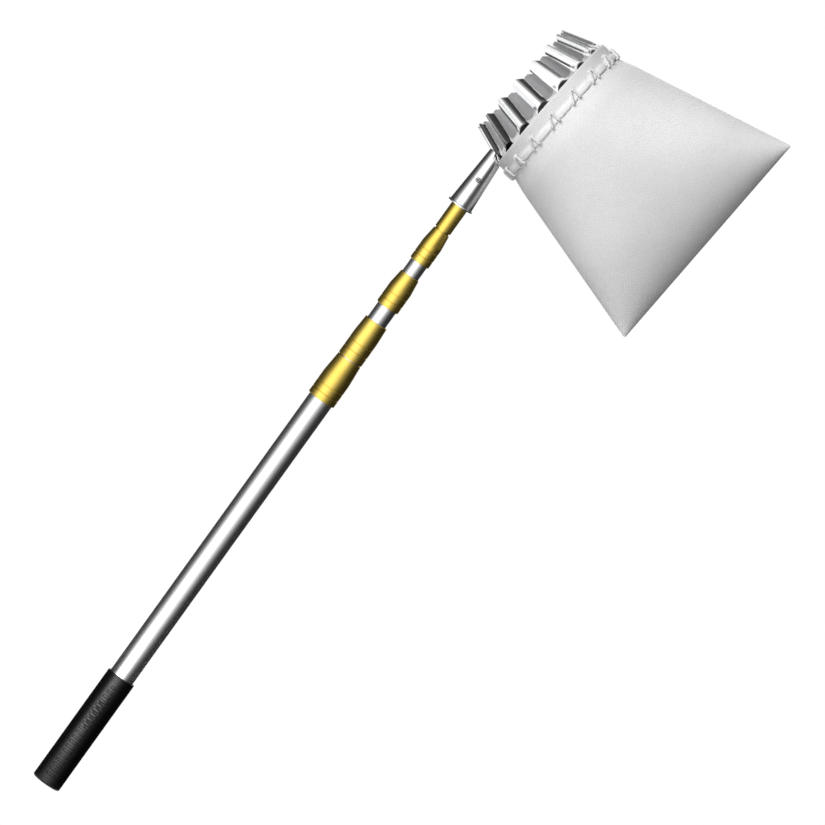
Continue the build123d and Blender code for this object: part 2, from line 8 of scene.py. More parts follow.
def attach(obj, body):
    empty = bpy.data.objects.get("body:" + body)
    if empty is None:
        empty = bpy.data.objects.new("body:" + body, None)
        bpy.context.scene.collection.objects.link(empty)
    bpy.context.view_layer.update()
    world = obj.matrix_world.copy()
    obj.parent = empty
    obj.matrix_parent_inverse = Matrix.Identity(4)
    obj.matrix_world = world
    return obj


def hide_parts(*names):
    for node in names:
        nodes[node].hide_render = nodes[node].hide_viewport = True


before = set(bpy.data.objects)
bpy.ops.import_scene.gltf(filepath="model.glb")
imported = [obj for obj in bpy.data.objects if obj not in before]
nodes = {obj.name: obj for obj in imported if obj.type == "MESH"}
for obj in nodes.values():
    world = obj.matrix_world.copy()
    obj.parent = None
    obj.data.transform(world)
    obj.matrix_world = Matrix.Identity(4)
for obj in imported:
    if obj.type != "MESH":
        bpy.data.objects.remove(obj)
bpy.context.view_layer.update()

# Grip: a black rubber sleeve with a closed butt, moulded with rows of shallow pads.
# It is pushed over the lowest tube; the imported solid keeps its shape and gets a grained rubber,
# with painted shade in the grooves between the pads.
rubber_dark = (0.0014, 0.0014, 0.0015, 1)
rubber_dusty = (0.0034, 0.0034, 0.0037, 1)
rubber_roughness = (0.22, 0.31)
rubber_gloss = 0.35
groove_reach = 0.0007
groove_shade_span = (0.78, 0.98)
dust_cells, dust_cells_along = 60, 25
wear_cells = 240
pore_cells = 1900
pore_strength, pore_depth = 0.18, 0.0002
corner_samples = 12


def new_finish(name):
    finish = bpy.data.materials.new(name)
    finish.use_nodes = True
    return finish, finish.node_tree, finish.node_tree.nodes["Principled BSDF"]


def feed(tree, node, **given):
    """Sets sockets of a node, by name or number, to plain values or to what other nodes give."""
    for key, value in given.items():
        socket = node.inputs[int(key[3:]) if key.startswith("in_") else key.replace("_", " ")]
        if isinstance(value, bpy.types.NodeSocket):
            tree.links.new(value, socket)
        else:
            socket.default_value = value


def put(tree, kind, **given):
    """A new shader node: lower-case keys are its settings, the others its sockets by name or number."""
    made = tree.nodes.new("ShaderNode" + kind)
    sockets = {key: value for key, value in given.items() if key[0].isupper() or key.startswith("in_")}
    for key, value in given.items():
        if key not in sockets:
            setattr(made, key, value)
    feed(tree, made, **sockets)
    return made


def grain(tree, cells, along=None, detail=4.0, coarse=0.55):
    """Noise with this many cells to the metre and, where it is given, another number of them along Z."""
    place = put(tree, "TexCoord")
    scale = (cells, cells, cells if along is None else along)
    scaled = put(tree, "Mapping", Vector=place.outputs["Object"], Scale=scale)
    made = put(tree, "TexNoise", Vector=scaled.outputs["Vector"], Scale=1.0, Detail=detail, Roughness=coarse)
    return made.outputs["Fac"]


def openness(tree, reach):
    """1 on open faces, and less in corners and grooves that are closer than this reach."""
    made = put(tree, "AmbientOcclusion", samples=corner_samples, Distance=reach)
    return made.outputs["AO"]


def ranged(tree, amount, low, high, start=0.3, end=0.7):
    """A value that goes from low to high while the amount goes from start to end."""
    made = put(tree, "MapRange", in_0=amount, in_1=start, in_2=end, in_3=low, in_4=high)
    return made.outputs["Result"]


def toned(tree, amount, first, second, start=0.3, end=0.7):
    """A colour that goes from the first to the second while the amount goes from start to end."""
    made = put(tree, "ValToRGB", Fac=amount)
    made.color_ramp.elements[0].position = start
    made.color_ramp.elements[0].color = first
    made.color_ramp.elements[1].position = end
    made.color_ramp.elements[1].color = second
    return made.outputs["Color"]


def raise_grain(tree, shader, height, strength, depth):
    made = put(tree, "Bump", Height=height, Strength=strength, Distance=depth)
    feed(tree, shader, Normal=made.outputs["Normal"])


def give(finish, *names):
    for name in names:
        nodes[name].data.materials.clear()
        nodes[name].data.materials.append(finish)


rubber, tree, shader = new_finish("moulded_rubber")
dust = grain(tree, dust_cells, dust_cells_along, detail=6.0)
# The gloss fades out in the grooves, within the groove reach of their walls: painted shade in the grooves.
feed(tree, shader,
     Base_Color=toned(tree, dust, rubber_dark, rubber_dusty),
     Roughness=ranged(tree, grain(tree, wear_cells), *rubber_roughness),
     Specular_IOR_Level=ranged(tree, openness(tree, groove_reach), 0.0, rubber_gloss, *groove_shade_span))
raise_grain(tree, shader, grain(tree, pore_cells, detail=2.0), pore_strength, pore_depth)
give(rubber, "grip")

# Pole: four drawn tubes of bright anodised aluminium, each running in the one below it.
# Fine drawing lines run along them, with a few faint scuffs from sliding.
aluminium_pale = (0.95, 0.953, 0.957, 1)
aluminium_grey = (0.86, 0.865, 0.873, 1)
aluminium_roughness = (0.17, 0.27)
line_cells, line_cells_along = 1400, 2.5
line_strength = 0.05
slide_cells, slide_cells_along = 90, 14
slide_share = (0.30, 0.48)
fine_depth = 0.0001

drawn_aluminium, tree, shader = new_finish("drawn_aluminium")
lines = grain(tree, line_cells, line_cells_along, detail=3.0)
slides = grain(tree, slide_cells, slide_cells_along, detail=7.0, coarse=0.62)
feed(tree, shader,
     Base_Color=toned(tree, slides, aluminium_grey, aluminium_pale, *slide_share),
     Metallic=1.0,
     Roughness=ranged(tree, lines, *aluminium_roughness))
raise_grain(tree, shader, lines, line_strength, fine_depth)
give(drawn_aluminium, "tube_1", "tube_2", "tube_3", "tube_4")

# Twist locks and spigot: turned aluminium, anodised gold. Each lock is a bush on the end of a tube and
# a nut that screws over it; the lathe has left fine rings round them.
gold_bright = (0.93, 0.70, 0.165, 1)
gold_deep = (0.86, 0.61, 0.105, 1)
gold_roughness = (0.24, 0.32)
lathe_cells, lathe_cells_along = 12, 2600
lathe_strength = 0.035
cloud_cells, cloud_cells_along = 55, 30

gold_aluminium, tree, shader = new_finish("gold_aluminium")
rings = grain(tree, lathe_cells, lathe_cells_along, detail=3.0)
clouds = grain(tree, cloud_cells, cloud_cells_along, detail=5.0)
feed(tree, shader,
     Base_Color=toned(tree, clouds, gold_deep, gold_bright),
     Metallic=1.0,
     Roughness=ranged(tree, rings, *gold_roughness))
raise_grain(tree, shader, rings, lathe_strength, fine_depth)
give(gold_aluminium, "spigot")
for number in "1234":
    give(gold_aluminium, "lock_bush_" + number, "lock_nut_" + number)

# Collets and guide sleeves: moulded nylon, out of sight inside the locks and the tubes.
# They clamp and guide the tubes.
nylon_dark = (0.045, 0.045, 0.048, 1)
nylon_light = (0.075, 0.075, 0.08, 1)
nylon_roughness = (0.38, 0.52)
mottle_cells = 150
rub_cells = 500
pit_cells = 2500
pit_strength = 0.15

nylon, tree, shader = new_finish("moulded_nylon")
feed(tree, shader,
     Base_Color=toned(tree, grain(tree, mottle_cells), nylon_dark, nylon_light),
     Roughness=ranged(tree, grain(tree, rub_cells), *nylon_roughness))
raise_grain(tree, shader, grain(tree, pit_cells, detail=2.0), pit_strength, fine_depth)
give(nylon, "collet_1", "collet_2", "collet_3", "collet_4")
give(nylon, "guide_sleeve_2", "guide_sleeve_3", "guide_sleeve_4")

# Socket, its screw and the hoop: bright plated steel, with painted shade in their corners.
# The socket is a rolled ferrule pinned to the spigot by one dome screw, with painted shade and some random
# grime round its edge; the hoop is a plain band under the hem.
steel_bright = (0.90, 0.905, 0.915, 1)
steel_grey = (0.78, 0.785, 0.80, 1)
steel_painted_shade = (0.16, 0.16, 0.165, 1)
steel_roughness = (0.07, 0.17)
scuff_cells = 130
scuff_share = (0.32, 0.5)
brush_cells = 420
ripple_cells = 700
ripple_strength = 0.04
corner_reach = 0.0014
corner_shade_span = (0.55, 0.90)
screw_painted_shade = (0.03, 0.03, 0.032, 1)
screw_light = (0.36, 0.36, 0.37, 1)
screw_roughness = (0.20, 0.32)
screw_reach = 0.0018
screw_shade_span = (0.75, 1.0)
grime_cells, grime_share = 900, 0.2


def blended(tree, share, first, second):
    """The first colour where the share is 0, the second where it is 1."""
    made = put(tree, "Mix", data_type="RGBA", in_0=share, in_6=first, in_7=second)
    return made.outputs[2]


def added(tree, base, amount, factor):
    """The base and this amount times the factor."""
    made = put(tree, "Math", operation="MULTIPLY_ADD", in_0=amount, in_1=factor, in_2=base)
    return made.outputs[0]


def plating(tree):
    """The scuffs of plated steel, and its colour with them."""
    scuffs = grain(tree, scuff_cells, detail=8.0, coarse=0.65)
    return scuffs, toned(tree, scuffs, steel_grey, steel_bright, *scuff_share)


plated_steel, tree, shader = new_finish("plated_steel")
scuffs, plated = plating(tree)
# The plated colour goes dark in corners within the corner reach: painted shade.
unshaded = ranged(tree, openness(tree, corner_reach), 0.0, 1.0, *corner_shade_span)
feed(tree, shader,
     Base_Color=blended(tree, unshaded, steel_painted_shade, plated),
     Metallic=1.0,
     Roughness=ranged(tree, grain(tree, brush_cells, detail=6.0), *steel_roughness))
raise_grain(tree, shader, grain(tree, ripple_cells, detail=3.0), ripple_strength, fine_depth)
give(plated_steel, "socket", "hoop")

screw_steel, tree, shader = new_finish("screw_steel")
# Darker where the screw meets the socket, within the screw reach: painted shade, with random grime mixed in.
shade_and_grime = added(tree, openness(tree, screw_reach), grain(tree, grime_cells), grime_share)
feed(tree, shader,
     Base_Color=toned(tree, shade_and_grime, screw_painted_shade, screw_light, *screw_shade_span),
     Metallic=1.0,
     Roughness=ranged(tree, grain(tree, ripple_cells), *screw_roughness))
give(screw_steel, "socket_screw")

# Fingers: sixteen strips of steel, stamped, bent to a shallow channel and welded inside the hoop.
# Their outer faces are plated bright, with painted shade low on the foot. Their inner faces are dull, with a
# painted highlight on the feet.
ring_tilt = math.radians(5.2)
ring_middle = Vector((0.0134006, 0.0, 0.8137971))
ring_up = Vector((-math.cos(ring_tilt), 0.0, math.sin(ring_tilt)))
ring_out = Vector((math.sin(ring_tilt), 0.0, math.cos(ring_tilt)))
ring_side = Vector((0.0, 1.0, 0.0))
across_ring = (0, 1, 1)
finger_count = 16
finger_pitch = 360 / finger_count
first_finger_angle = 180
finger_radius = 0.0736
finger_sheet = 0.001
finger_half = 0.0072
finger_ridge_half = 0.0024
bend_round = 0.0009
flange_slope = math.tan(math.radians(35))
lean_slope = math.tan(math.radians(20))
lean_round = 0.003
finger_top = 0.0380
finger_foot = 0.016
foot_half = 0.0142
foot_end, channel_start = 0.001, 0.0085
notch_radius = 0.0072
bend_height = 0.0050
tip_half = 0.0022
tip_height = 0.0048
edge_round = 0.0002
edge_angle = math.radians(50)
finger_columns = 24
foot_rows = [-finger_foot, -0.009, -0.004]
notch_steps = 18
blade_rows = [0.0056, 0.0062, 0.0069, 0.0077, 0.0086, 0.0098, 0.0114]
blade_rows += [0.0135, 0.016, 0.019, 0.0225, 0.0265, 0.0300]
tip_steps = 6
finger_roughness = (0.07, 0.15)
finger_ripple = 0.03
face_turn = 0.02
dull_dark = (0.41, 0.412, 0.418, 1)
dull_light = (0.49, 0.492, 0.498, 1)
dull_metallic = 0.25
dull_roughness = 0.45
foot_painted_shade = (0.020, 0.020, 0.020, 1)
foot_shade_edge = (0.0050, 0.0066)
foot_shade_fall = 60
foot_shade_unevenness = 0.002
painted_foot_fade = 0.0016
painted_foot_fade_fingers = (4.5, 7.5)
foot_painted_highlight = (0.95, 0.95, 0.955, 1)
foot_highlight_edge = (0.0084, 0.0096)
foot_highlight_rise = -45

# A face is an outer one where it looks away from the ring's axis, which lies close to X. The painted shade
# on the outer feet and the painted highlight on the inner feet end in curved lines, whose height changes
# with the square of the distance from the middle.
finger_steel, tree, shader = new_finish("finger_steel")
place = put(tree, "TexCoord")
offset = put(tree, "VectorMath", operation="SUBTRACT", in_0=place.outputs["Object"], in_1=ring_middle)
spread = put(tree, "VectorMath", operation="MULTIPLY", in_0=offset.outputs[0], in_1=across_ring)
facing = put(tree, "VectorMath", operation="DOT_PRODUCT", in_0=spread.outputs[0],
             in_1=place.outputs["Normal"])
outer = ranged(tree, facing.outputs["Value"], 0.0, 1.0, -face_turn, face_turn)
scuffs, plated = plating(tree)
strip = put(tree, "SeparateXYZ", Vector=place.outputs["UV"])
off_middle = put(tree, "Math", operation="MULTIPLY", in_0=strip.outputs["X"], in_1=strip.outputs["X"])
# Low on the outer faces the plating turns nearly black, ending in a curved line: painted shade.
foot_shade_line = added(tree, strip.outputs["Y"], off_middle.outputs[0], foot_shade_fall)
past_foot_shade = ranged(tree, added(tree, foot_shade_line, scuffs, foot_shade_unevenness), 0.0, 1.0, *foot_shade_edge)
# Low on the inner faces the dull steel turns nearly white, ending in a curved line: a painted highlight.
foot_highlight_line = added(tree, strip.outputs["Y"], off_middle.outputs[0], foot_highlight_rise)
past_foot_highlight = ranged(tree, foot_highlight_line, 0.0, 1.0, *foot_highlight_edge)
inner_face = blended(tree, past_foot_highlight, foot_painted_highlight, toned(tree, scuffs, dull_dark, dull_light))
outer_face = blended(tree, past_foot_shade, foot_painted_shade, plated)
polish = ranged(tree, grain(tree, brush_cells, detail=6.0), *finger_roughness)
dullness = ranged(tree, outer, dull_roughness, 0.0, 0.0, 1.0)
roughness = put(tree, "Math", operation="ADD", in_0=polish, in_1=dullness)
feed(tree, shader,
     Base_Color=blended(tree, outer, inner_face, outer_face),
     Metallic=ranged(tree, outer, dull_metallic, 1.0, 0.0, 1.0),
     Roughness=roughness.outputs[0])
raise_grain(tree, shader, grain(tree, ripple_cells, detail=3.0), finger_ripple, fine_depth)


def mesh_piece(name, points, faces, finish):
    mesh = bpy.data.meshes.new(name)
    mesh.from_pydata([tuple(point) for point in points], [], faces)
    mesh.materials.append(finish)
    mesh.polygons.foreach_set("use_smooth", [True] * len(mesh.polygons))
    piece = bpy.data.objects.new(name, mesh)
    bpy.context.scene.collection.objects.link(piece)
    return piece


def grid_faces(rows, wide):
    """Faces between points that lie in this many rows, each this many points wide."""
    faces = []
    for row in range(rows - 1):
        for column in range(wide - 1):
            corner = row * wide + column
            faces.append((corner, corner + 1, corner + wide + 1, corner + wide))
    return faces


def lay_out(piece, layer_name, places):
    """Gives each point of a piece its place on the flat sheet."""
    layer = piece.data.uv_layers.new(name=layer_name)
    for loop in piece.data.loops:
        layer.data[loop.index].uv = places[loop.vertex_index]


def thicken(piece, name, thickness, side):
    """Gives a sheet its thickness, behind its face for side -1 and in front of it for side 1."""
    sheet = piece.modifiers.new(name, "SOLIDIFY")
    sheet.thickness = thickness
    sheet.offset = side


def share_between(amount, low, high):
    """0 up to the low end, 1 from the high end on, and evenly between them."""
    return min(max((amount - low) / (high - low), 0.0), 1.0)


def eased(amount, low, high):
    share = share_between(amount, low, high)
    return share * share * (3 - 2 * share)


def soft_ramp(amount, round_off):
    """Nothing below zero and the amount itself above, with a rounded corner between."""
    return (amount + math.hypot(amount, round_off)) / 2


def outward(angle):
    """Direction away from the ring's axis at this angle round it."""
    turn = math.radians(angle)
    return ring_out * math.cos(turn) + ring_side * math.sin(turn)


def at_ring(radius, angle, height):
    """A point by its distance from the ring's axis, its angle round it and its height above the ring."""
    return ring_middle + outward(angle) * radius + ring_up * height


def finger_angle(number):
    return first_finger_angle + finger_pitch * (number - 1)


def finger_width_at(height):
    """Half the width of a finger: a wide foot, round notches at the bend, an even blade and a gable tip."""
    if height <= bend_height - notch_radius:
        return foot_half
    if height < bend_height:
        notch = math.sqrt(notch_radius ** 2 - (bend_height - height) ** 2)
        return foot_half - notch * (foot_half / finger_half - 1)
    tip = share_between(height, finger_top - tip_height, finger_top)
    return finger_half + (tip_half - finger_half) * tip


def finger_point(angle, across, height):
    """Outer face of a finger: a curved foot that turns into a leaning channel with its ridge outwards."""
    foot_sink = finger_radius - math.sqrt(finger_radius ** 2 - across ** 2)
    flange_sink = flange_slope * (soft_ramp(abs(across) - finger_ridge_half, bend_round)
                                  - soft_ramp(-finger_ridge_half, bend_round))
    share = eased(height, foot_end, channel_start)
    lean = lean_slope * (soft_ramp(height - bend_height, lean_round) - soft_ramp(-bend_height, lean_round))
    radius = finger_radius - lean - foot_sink * (1 - share) - flange_sink * share
    return at_ring(radius, angle, height) + outward(angle + 90) * across


notch_turns = [math.pi / 2 * step / notch_steps for step in range(notch_steps + 1)]
finger_rows = foot_rows + [bend_height - notch_radius * math.cos(turn) for turn in notch_turns] + blade_rows
finger_rows += [finger_top - tip_height + tip_height * step / tip_steps for step in range(tip_steps + 1)]
for number in range(1, finger_count + 1):
    # From the fifth finger on, the painted shade and painted highlight end lower on the foot, fully from the
    # eighth.
    painted_foot_lift = painted_foot_fade * eased(number, *painted_foot_fade_fingers)
    points, places = [], []
    for height in finger_rows:
        half = finger_width_at(height)
        for column in range(finger_columns + 1):
            across = half * (2 * column / finger_columns - 1)
            points.append(finger_point(finger_angle(number), across, height))
            places.append((across, height + painted_foot_lift))
    faces = grid_faces(len(finger_rows), finger_columns + 1)
    finger = mesh_piece(f"picking_finger_{number:02d}", points, faces, finger_steel)
    lay_out(finger, "strip", places)
    thicken(finger, "sheet", finger_sheet, -1.0)
    edge = finger.modifiers.new("rolled_edge", "BEVEL")
    edge.width = edge_round
    edge.segments = 2
    edge.limit_method = "ANGLE"
    edge.angle_limit = edge_angle
    edge.harden_normals = True
    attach(finger, "head")
    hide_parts(f"finger_{number:02d}")

# Bag: two panels of stiff white cloth, sewn to each other down both sides and along the bottom.
# At the ring each is a half circle; they draw together to a flat edge at the bottom.
cloth_thickness = 0.0008
tuck_radius = 0.07465
bag_ring_radius = 0.0762
bag_top = 0.012
bag_flare_top = 0.0185
bag_flare_bottom = 0.0204
bag_tuck_end = 0.040
bag_bottom = 0.1995
bag_bottom_width = 0.242
pillow_start, pillow_end = 0.2 * bag_bottom, 0.75 * bag_bottom
pillow_flatness, pillow_fullness = 3, 0.62
slack_height = 0.0003
slack_cells = 24
slack_shift = 3.1
calm_side, calm_ring, calm_bottom = 4, 6, 6
flare_rows = 12
bag_rows = 72
bag_columns = 72
narrowest_turn, widest_turn = 0.002, math.pi / 2
turn_attempts = 60
bag_white = (0.90, 0.90, 0.905, 1)
bag_shade = (0.87, 0.87, 0.878, 1)
bag_roughness = (0.78, 0.92)
bag_sheen = 0.12
bag_gloss = 0.3
weave_pitch = 0.0022
weave_strength, weave_depth = 0.42, 0.0003
thread_wave = math.pi / 10
thread_wander = 0.6
slub_cells, slub_share = 620, 1.6
blotch_cells = 45
blotch_share = (0.2, 0.6)
gap_painted_shade = 0.78
gap_share = (0.6, 1.7)


def thread_bands(tree, threads, direction):
    """Threads that lie side by side in this direction, one to each weave pitch."""
    made = put(tree, "TexWave", wave_type="BANDS", bands_direction=direction, Vector=threads,
               Scale=thread_wave, Distortion=thread_wander, Detail=1.0, Detail_Scale=thread_wander)
    return made.outputs["Fac"]


def half_turn_for(share):
    """Half the angle of an arc whose chord is this share of its length."""
    low, high = narrowest_turn, widest_turn
    for attempt in range(turn_attempts):
        middle = (low + high) / 2
        low, high = (middle, high) if math.sin(middle) / middle > share else (low, middle)
    return high


def bag_share(drop):
    """0 at the ring and 1 at the bottom edge."""
    return share_between(drop, bag_flare_bottom, bag_bottom)


def bag_section(drop):
    """Radius and half angle of a panel's arc this far below the ring."""
    share = bag_share(drop)
    tuck = (bag_ring_radius - tuck_radius) * (1 - eased(drop, bag_flare_top, bag_tuck_end))
    half_width = bag_ring_radius + (bag_bottom_width / 2 - bag_ring_radius) * share - tuck
    cloth_width = math.pi * bag_ring_radius * (1 - share) + bag_bottom_width * share - math.pi * tuck
    half_turn = half_turn_for(2 * half_width / cloth_width)
    return cloth_width / 2 / half_turn, half_turn


def bag_point(drop, across, side):
    """A point on a panel: a half circle at the ring, lower down a flat front with full, rounded sides."""
    radius, half_turn = bag_section(drop)
    chord = min(1.0, abs(math.sin(half_turn * across) / math.sin(half_turn)))
    arc = (math.cos(half_turn * across) - math.cos(half_turn)) / (1 - math.cos(half_turn))
    pillow = (1 - chord ** pillow_flatness) ** pillow_fullness
    mixed = arc + (pillow - arc) * eased(drop, pillow_start, pillow_end)
    depth = radius * (1 - math.cos(half_turn)) * max(mixed, 0.0)
    return (ring_middle + ring_out * radius * math.sin(half_turn * across)
            + ring_side * side * depth - ring_up * drop)


bag_cloth, tree, shader = new_finish("bag_cloth")
place = put(tree, "TexCoord")
threads = put(tree, "Mapping", Vector=place.outputs["UV"], Scale=(1 / weave_pitch, 1 / weave_pitch, 1))
warp = thread_bands(tree, threads.outputs["Vector"], "X")
weft = thread_bands(tree, threads.outputs["Vector"], "Y")
over = put(tree, "TexChecker", Vector=threads.outputs["Vector"], Scale=1.0)
weave = put(tree, "Mix", data_type="FLOAT", in_0=over.outputs["Fac"], in_2=warp, in_3=weft)
slubs = grain(tree, slub_cells, detail=3.0)
cloth_height = added(tree, weave.outputs[0], slubs, slub_share)
cloth_colour = toned(tree, grain(tree, blotch_cells, detail=5.0), bag_shade, bag_white, *blotch_share)
# The colour darkens where the weave and its slubs lie low: painted shade between the threads, random tone
# along them.
gaps = ranged(tree, cloth_height, gap_painted_shade, 1.0, *gap_share)
shaded = put(tree, "VectorMath", operation="SCALE", in_0=cloth_colour, Scale=gaps)
feed(tree, shader,
     Base_Color=shaded.outputs[0],
     Roughness=ranged(tree, slubs, *bag_roughness),
     Sheen_Weight=bag_sheen,
     Specular_IOR_Level=bag_gloss)
raise_grain(tree, shader, cloth_height, weave_strength, weave_depth)

# The cloth is a little slack, but taut at the sides, at the ring and along the bottom edge.
bag_drops = [bag_top + (bag_flare_bottom - bag_top) * row / flare_rows for row in range(flare_rows)]
for row in range(bag_rows + 1):
    bag_drops.append(bag_flare_bottom + (bag_bottom - bag_flare_bottom) * (1 - (1 - row / bag_rows) ** 2))
for name, side in (("bag_front_cloth", -1), ("bag_back_cloth", 1)):
    points, places = [], []
    bag_length = 0.0
    for row, drop in enumerate(bag_drops):
        radius, half_turn = bag_section(drop)
        share = bag_share(drop)
        if row:
            bag_length += (bag_point(drop, 0, side) - bag_point(bag_drops[row - 1], 0, side)).length
        for column in range(bag_columns + 1):
            across = math.sin(math.pi / 2 * (2 * column / bag_columns - 1))
            point = bag_point(drop, across, side)
            away = ring_out * math.sin(half_turn * across) + ring_side * side * math.cos(half_turn * across)
            calm = (1 - across ** calm_side) * min(1.0, share * calm_ring) * (1 - share ** calm_bottom)
            wave = field.noise(point * slack_cells + Vector((slack_shift * side, 0, 0)))
            points.append(point + away * (slack_height * calm * wave))
            places.append((radius * half_turn * across, bag_length))
    faces = grid_faces(len(bag_drops), bag_columns + 1)
    if side < 0:
        faces = [face[::-1] for face in faces]
    panel = mesh_piece(name, points, faces, bag_cloth)
    lay_out(panel, "cloth", places)
    thicken(panel, "cloth_thickness", cloth_thickness, 1.0)
    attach(panel, "head")
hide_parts("bag_front")
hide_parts("bag_back")

# Seam of the bag: the turned and sewn edge that runs down both sides and along the bottom.
# It stands out from the panels as a thin cloth bead.
seam_radius = 0.0005
seam_sides = 8
seam_steps = 60
seam_first_row = 10


def frames_along(line):
    """The points of a line, each with two directions square to the line that don't twist along it."""
    across = (line[1] - line[0]).normalized().orthogonal().normalized()
    frames = []
    for index, point in enumerate(line):
        before, after = line[max(index - 1, 0)], line[min(index + 1, len(line) - 1)]
        heading = (after - before).normalized()
        across = (across - heading * across.dot(heading)).normalized()
        frames.append((point, across, heading.cross(across)))
    return frames


def beside_line(place, turn, reach):
    """A point this far from the line, turned round it by this angle."""
    point, across, upward = place
    return point + (across * math.cos(turn) + upward * math.sin(turn)) * reach


def tube_rings(line, radius, sides):
    """Points and faces of a round strand along a line of points, closed at both ends."""
    points, faces = [], []
    for index, place in enumerate(frames_along(line)):
        points += [beside_line(place, 2 * math.pi * step / sides, radius) for step in range(sides)]
        if index:
            start, end = (index - 1) * sides, index * sides
            for step in range(sides):
                following = (step + 1) % sides
                faces.append((start + step, start + following, end + following, end + step))
    faces.append(tuple(reversed(range(sides))))
    faces.append(tuple(range(len(points) - sides, len(points))))
    return points, faces


seam_drops = bag_drops[seam_first_row:]
seam_line = [bag_point(drop, -1, 1) for drop in seam_drops]
seam_line += [bag_point(bag_bottom, 2 * step / seam_steps - 1, 1) for step in range(1, seam_steps)]
seam_line += [bag_point(drop, 1, 1) for drop in reversed(seam_drops)]
seam_points, seam_faces = tube_rings(seam_line, seam_radius, seam_sides)
bag_seam = mesh_piece("bag_seam", seam_points, seam_faces, bag_cloth)
lay_out(bag_seam, "cloth", [(weave_pitch / 4, weave_pitch / 4)] * len(seam_points))
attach(bag_seam, "head")

# Hem: a doubled band of the same cloth over the hoop. The lacing pinches its lower edge at every stitch,
# so it swells between the stitches.
stitch_count = 16
stitch_pitch = 360 / stitch_count
first_stitch = 90
strand_turn = 0.976
slant_turn = 6.458
lacing_drop = 0.0093
hem_round = 0.479
hem_degree = 0.00133
stitch_steps = 24
hem_steps = stitch_count * stitch_steps
hem_inside, hem_fold, hem_face, hem_roll = tuck_radius, 0.0755, 0.0763, 0.0770
hem_outer = (0.0756, 0.0761)
leg_swell, gap_fullness = 0.35, 0.7
swell_height, swell_sink = 0.0010, 0.0004
swell_drops = (0.0105, 0.0145)
apex_dent, apex_reach = 0.0006, 0.0021
lift_height, lift_reach = 0.0012, 0.0019
lift_drops = (0.0150, 0.0197)
band_tone = 0.84
band_edge = (0.0125, 0.0160)

# The outline of the band goes over the top edge, down the outer face, round the rolled lower edge,
# up the fold that takes in the bag, and up the inner face.
hem_profile = [(hem_inside, 0.0002), (0.0749, 0.0), (0.0757, 0.0), (0.0761, 0.00012)]
hem_profile += [(hem_face, drop) for drop in (0.0005, 0.0025, 0.005, 0.0072, 0.0085)]
hem_profile += [(hem_face, drop) for drop in (lacing_drop, 0.0101, 0.0115)]
hem_profile += [(0.0764, 0.0125), (0.0766, 0.0134), (0.0769, 0.0143)]
hem_profile += [(hem_roll, drop) for drop in (0.0153, 0.0163, 0.0174)]
hem_profile += [(0.0769, 0.0184), (0.0766, 0.0192), (0.0762, 0.0196), (0.0758, 0.0197)]
hem_profile += [(hem_fold, drop) for drop in (0.0197, 0.0160, 0.0120)]
hem_profile += [(0.0748, 0.0119)]
hem_profile += [(hem_inside, drop) for drop in (0.0115, 0.0080, 0.0040)]


def pinched(radius, drop, angle):
    """How far the lacing moves the hem's outer face at this place."""
    behind = (first_stitch - angle + strand_turn) % stitch_pitch - strand_turn
    gap = stitch_pitch - strand_turn - slant_turn
    if behind < slant_turn:
        swell = leg_swell * math.sin(math.pi * (behind + strand_turn) / (slant_turn + strand_turn))
    else:
        swell = math.sin(math.pi * (behind - slant_turn) / gap) ** gap_fullness
    low = eased(drop, *swell_drops)
    apex = math.exp(-((behind * hem_degree) ** 2 + (drop - lacing_drop) ** 2) / apex_reach ** 2)
    outer = share_between(radius, *hem_outer)
    return outer * (low * (swell_height * swell - swell_sink) - apex_dent * apex)


def drawn_up(drop, angle):
    """How far the two legs of a stitch lift the hem's lower edge at this place."""
    behind = (first_stitch - angle + stitch_pitch / 2) % stitch_pitch - stitch_pitch / 2
    near = min(abs(behind + strand_turn), abs(behind - slant_turn)) * hem_degree
    return lift_height * share_between(drop, *lift_drops) * math.exp(-(near / lift_reach) ** 2)


points, places, faces = [], [], []
tall = len(hem_profile)
for step in range(hem_steps):
    angle = 360 * step / hem_steps
    start, end = step * tall, (step + 1) % hem_steps * tall
    around = 0.0
    for index, (radius, drop) in enumerate(hem_profile):
        shifted = radius + pinched(radius, drop, angle)
        points.append(at_ring(shifted, angle, drawn_up(drop, angle) - drop))
        if index:
            around += math.dist(hem_profile[index], hem_profile[index - 1])
        places.append((angle / 360 * hem_round, around))
        upper = (index + 1) % tall
        faces.append((start + index, start + upper, end + upper, end + index))
hem_cloth = bag_cloth.copy()
hem_cloth.name = "hem_cloth"
tree = hem_cloth.node_tree
shader = tree.nodes["Principled BSDF"]
place = put(tree, "TexCoord")
strip = put(tree, "SeparateXYZ", Vector=place.outputs["UV"])
tone = ranged(tree, strip.outputs["Y"], band_tone, 1.0, *band_edge)
plain_cloth = shader.inputs["Base Color"].links[0].from_socket
toned_band = put(tree, "VectorMath", operation="SCALE", in_0=plain_cloth, Scale=tone)
feed(tree, shader, Base_Color=toned_band.outputs[0])
hem_band = mesh_piece("hem_band", points, faces, hem_cloth)
lay_out(hem_band, "cloth", places)
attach(hem_band, "head")
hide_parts("hem")

